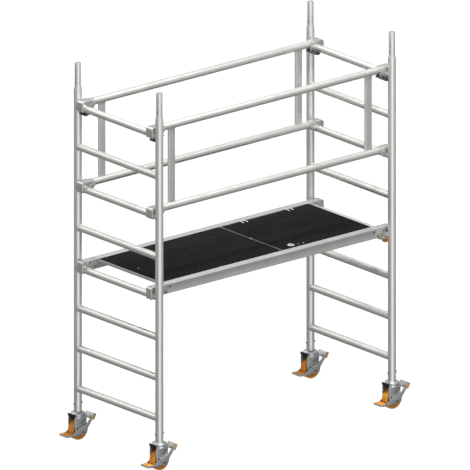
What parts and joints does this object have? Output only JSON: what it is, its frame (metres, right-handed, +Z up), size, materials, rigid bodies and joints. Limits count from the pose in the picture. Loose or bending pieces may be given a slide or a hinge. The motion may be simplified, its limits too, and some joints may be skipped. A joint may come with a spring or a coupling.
{
  "type": "mobile scaffold",
  "caption": "Wheeled aluminium room scaffold: two ladder end frames on braked castors, a deck with a hatch, and a guardrail along each side.",
  "frame": {"origin": "on the floor below the middle of the bay", "axes": "+X along the bay towards the hatch end, +Y across the bay towards the hatch's hinge side, +Z up"},
  "size_m": [2.02, 0.8304, 2.336],
  "materials": {
    "tube": "extruded aluminium tube, satin with fine lengthwise lines",
    "profile": "extruded aluminium section, mill finish",
    "casting": "die-cast aluminium, slightly rough",
    "zinc_steel": "zinc-plated pressed steel",
    "orange_tyre": "orange polyurethane tread, matt",
    "orange_plastic": "orange moulded nylon",
    "dark_plastic": "dark slate moulded nylon",
    "deck_ply": "film-faced plywood, near black, anti-slip mesh print"
  },
  "bodies": {
    "root": {"end_frame_left": "tube", "end_frame_right": "tube", "castor_stem_front_left": "zinc_steel", "rail_hook_top_front_left": "casting", "rail_hook_mid_front_left": "casting", "deck_hook_front_left": "casting", "castor_stem_back_left": "zinc_steel", "rail_hook_top_back_left": "casting", "rail_hook_mid_back_left": "casting", "deck_hook_back_left": "casting", "castor_stem_front_right": "zinc_steel", "rail_hook_top_front_right": "casting", "rail_hook_mid_front_right": "casting", "deck_hook_front_right": "casting", "castor_stem_back_right": "zinc_steel", "rail_hook_top_back_right": "casting", "rail_hook_mid_back_right": "casting", "deck_hook_back_right": "casting", "guardrail_front": "tube", "guardrail_back": "tube", "deck_beam_front": "profile", "deck_beam_back": "profile", "deck_end_left": "profile", "deck_end_right": "profile", "deck_crossbar": "profile", "deck_board": "deck_ply"},
    "fork_front_left": {"castor_fork_front_left": "zinc_steel", "castor_axle_front_left": "zinc_steel"},
    "wheel_front_left": {"castor_tyre_front_left": "orange_tyre", "castor_hub_front_left": "orange_plastic"},
    "brake_front_left": {"castor_brake_front_left": "zinc_steel"},
    "pin_front_left": {"lock_pin_front_left": "zinc_steel"},
    "latch_front_left": {"rail_latch_front_left": "dark_plastic"},
    "fork_back_left": {"castor_fork_back_left": "zinc_steel", "castor_axle_back_left": "zinc_steel"},
    "wheel_back_left": {"castor_tyre_back_left": "orange_tyre", "castor_hub_back_left": "orange_plastic"},
    "brake_back_left": {"castor_brake_back_left": "zinc_steel"},
    "pin_back_left": {"lock_pin_back_left": "zinc_steel"},
    "latch_back_left": {"rail_latch_back_left": "dark_plastic"},
    "fork_front_right": {"castor_fork_front_right": "zinc_steel", "castor_axle_front_right": "zinc_steel"},
    "wheel_front_right": {"castor_tyre_front_right": "orange_tyre", "castor_hub_front_right": "orange_plastic"},
    "brake_front_right": {"castor_brake_front_right": "zinc_steel"},
    "pin_front_right": {"lock_pin_front_right": "zinc_steel"},
    "latch_front_right": {"rail_latch_front_right": "dark_plastic"},
    "wind_front_right": {"wind_lock_front_right": "orange_plastic"},
    "fork_back_right": {"castor_fork_back_right": "zinc_steel", "castor_axle_back_right": "zinc_steel"},
    "wheel_back_right": {"castor_tyre_back_right": "orange_tyre", "castor_hub_back_right": "orange_plastic"},
    "brake_back_right": {"castor_brake_back_right": "zinc_steel"},
    "pin_back_right": {"lock_pin_back_right": "zinc_steel"},
    "latch_back_right": {"rail_latch_back_right": "dark_plastic"},
    "wind_back_right": {"wind_lock_back_right": "orange_plastic"},
    "hatch": {"hatch_board": "deck_ply", "hatch_hinge_1": "zinc_steel", "hatch_hinge_2": "zinc_steel"},
    "bolt": {"hatch_bolt": "zinc_steel"}
  },
  "joints": [
    {"name": "swivel_front_left", "type": "hinge", "parent": "root", "child": "fork_front_left", "pos_m": [-0.895, -0.373, 0.15], "axis": [0, 0, 1], "continuous": true},
    {"name": "roll_front_left", "type": "hinge", "parent": "fork_front_left", "child": "wheel_front_left", "pos_m": [-0.895, -0.373, 0.0625], "axis": [0, 1, 0], "continuous": true},
    {"name": "brake_front_left", "type": "hinge", "parent": "fork_front_left", "child": "brake_front_left", "pos_m": [-0.895, -0.373, 0.0625], "axis": [0, 1, 0], "range_deg": [0, 25]},
    {"name": "pin_front_left", "type": "slide", "parent": "root", "child": "pin_front_left", "axis": [1, 0, 0], "range_m": [0, 0.064]},
    {"name": "latch_front_left", "type": "hinge", "parent": "root", "child": "latch_front_left", "pos_m": [-0.845, -0.319, 2.052], "axis": [0, -1, 0], "range_deg": [0, 50]},
    {"name": "swivel_back_left", "type": "hinge", "parent": "root", "child": "fork_back_left", "pos_m": [-0.895, 0.373, 0.15], "axis": [0, 0, 1], "continuous": true},
    {"name": "roll_back_left", "type": "hinge", "parent": "fork_back_left", "child": "wheel_back_left", "pos_m": [-0.895, 0.373, 0.0625], "axis": [0, 1, 0], "continuous": true},
    {"name": "brake_back_left", "type": "hinge", "parent": "fork_back_left", "child": "brake_back_left", "pos_m": [-0.895, 0.373, 0.0625], "axis": [0, 1, 0], "range_deg": [0, 25]},
    {"name": "pin_back_left", "type": "slide", "parent": "root", "child": "pin_back_left", "axis": [1, 0, 0], "range_m": [0, 0.064]},
    {"name": "latch_back_left", "type": "hinge", "parent": "root", "child": "latch_back_left", "pos_m": [-0.845, 0.319, 2.052], "axis": [0, -1, 0], "range_deg": [0, 50]},
    {"name": "swivel_front_right", "type": "hinge", "parent": "root", "child": "fork_front_right", "pos_m": [0.895, -0.373, 0.15], "axis": [0, 0, 1], "continuous": true},
    {"name": "roll_front_right", "type": "hinge", "parent": "fork_front_right", "child": "wheel_front_right", "pos_m": [0.895, -0.373, 0.0625], "axis": [0, 1, 0], "continuous": true},
    {"name": "brake_front_right", "type": "hinge", "parent": "fork_front_right", "child": "brake_front_right", "pos_m": [0.895, -0.373, 0.0625], "axis": [0, 1, 0], "range_deg": [0, 25]},
    {"name": "pin_front_right", "type": "slide", "parent": "root", "child": "pin_front_right", "axis": [1, 0, 0], "range_m": [0, 0.064]},
    {"name": "latch_front_right", "type": "hinge", "parent": "root", "child": "latch_front_right", "pos_m": [0.845, -0.319, 2.052], "axis": [0, 1, 0], "range_deg": [0, 50]},
    {"name": "wind_lock_front_right", "type": "hinge", "parent": "root", "child": "wind_front_right", "pos_m": [0.845, -0.315, 1.052], "axis": [0, 1, 0], "range_deg": [0, 50]},
    {"name": "swivel_back_right", "type": "hinge", "parent": "root", "child": "fork_back_right", "pos_m": [0.895, 0.373, 0.15], "axis": [0, 0, 1], "continuous": true},
    {"name": "roll_back_right", "type": "hinge", "parent": "fork_back_right", "child": "wheel_back_right", "pos_m": [0.895, 0.373, 0.0625], "axis": [0, 1, 0], "continuous": true},
    {"name": "brake_back_right", "type": "hinge", "parent": "fork_back_right", "child": "brake_back_right", "pos_m": [0.895, 0.373, 0.0625], "axis": [0, 1, 0], "range_deg": [0, 25]},
    {"name": "pin_back_right", "type": "slide", "parent": "root", "child": "pin_back_right", "axis": [1, 0, 0], "range_m": [0, 0.064]},
    {"name": "latch_back_right", "type": "hinge", "parent": "root", "child": "latch_back_right", "pos_m": [0.845, 0.319, 2.052], "axis": [0, 1, 0], "range_deg": [0, 50]},
    {"name": "wind_lock_back_right", "type": "hinge", "parent": "root", "child": "wind_back_right", "pos_m": [0.845, 0.315, 1.052], "axis": [0, 1, 0], "range_deg": [0, 50]},
    {"name": "hatch_lid", "type": "hinge", "parent": "root", "child": "hatch", "pos_m": [0.472, 0.2855, 1.1215], "axis": [-1, 0, 0], "range_deg": [0, 90]},
    {"name": "hatch_bolt", "type": "slide", "parent": "hatch", "child": "bolt", "axis": [0, -1, 0], "range_m": [0, 0.02]}
  ]
}
